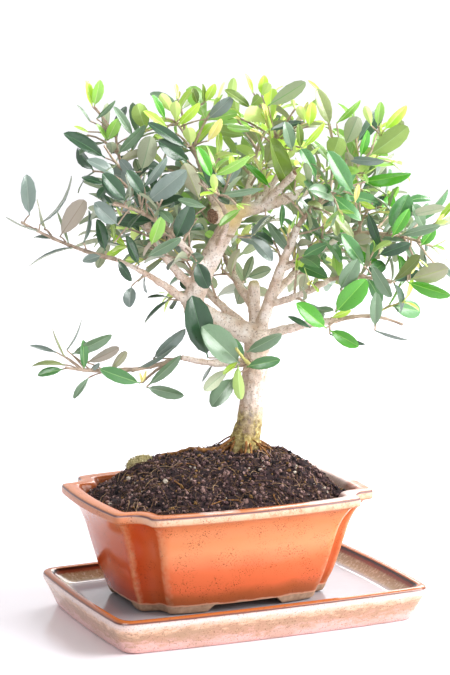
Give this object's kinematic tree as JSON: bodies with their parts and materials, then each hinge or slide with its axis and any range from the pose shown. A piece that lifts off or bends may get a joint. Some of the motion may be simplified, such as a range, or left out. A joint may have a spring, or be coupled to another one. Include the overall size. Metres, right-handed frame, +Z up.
{
  "type": "olive bonsai",
  "caption": "Small olive tree trained as a bonsai, with a forked trunk and leafy boughs, in a glazed oblong pot with scooped corners on a matching drip tray.",
  "frame": {"origin": "middle of the drip tray's flat underside", "axes": "+Z up, X along the pot's long side, Y across it, with the front of the pot towards -Y"},
  "size_m": [0.215, 0.1741, 0.2542],
  "materials": {
    "glaze": "glossy orange-brown glaze",
    "compost": "crumbly moist compost",
    "bark": "pale tan bark",
    "foliage": "grey-green leathery leaves"
  },
  "bodies": {
    "root": {"bough_crown": "bark", "bough_crown_left": "bark", "bough_crown_mid": "bark", "bough_crown_rear": "bark", "bough_front": "bark", "bough_left": "bark", "bough_left_front": "bark", "bough_left_riser": "bark", "bough_left_tip": "bark", "bough_left_up": "bark", "bough_low_left": "bark", "bough_rear": "bark", "bough_rear_left": "bark", "bough_rear_right": "bark", "bough_right": "bark", "bough_right_mid": "bark", "bough_right_rise": "bark", "bough_right_side": "bark", "leaves_front": "foliage", "leaves_left_front": "foliage", "leaves_left_tip": "foliage", "leaves_left_up": "foliage", "leaves_low_left": "foliage", "leaves_rear": "foliage", "leaves_rear_left": "foliage", "leaves_rear_right": "foliage", "leaves_right_front": "foliage", "leaves_right_low": "foliage", "leaves_right_mid": "foliage", "leaves_right_side": "foliage", "leaves_top_left": "foliage", "leaves_top_mid": "foliage", "leaves_top_rear": "foliage", "leaves_top_right": "foliage", "leaves_trunk": "foliage", "pot": "glaze", "soil": "compost", "stub_rear": "bark", "tray": "glaze", "trunk": "bark"}
  },
  "joints": []
}
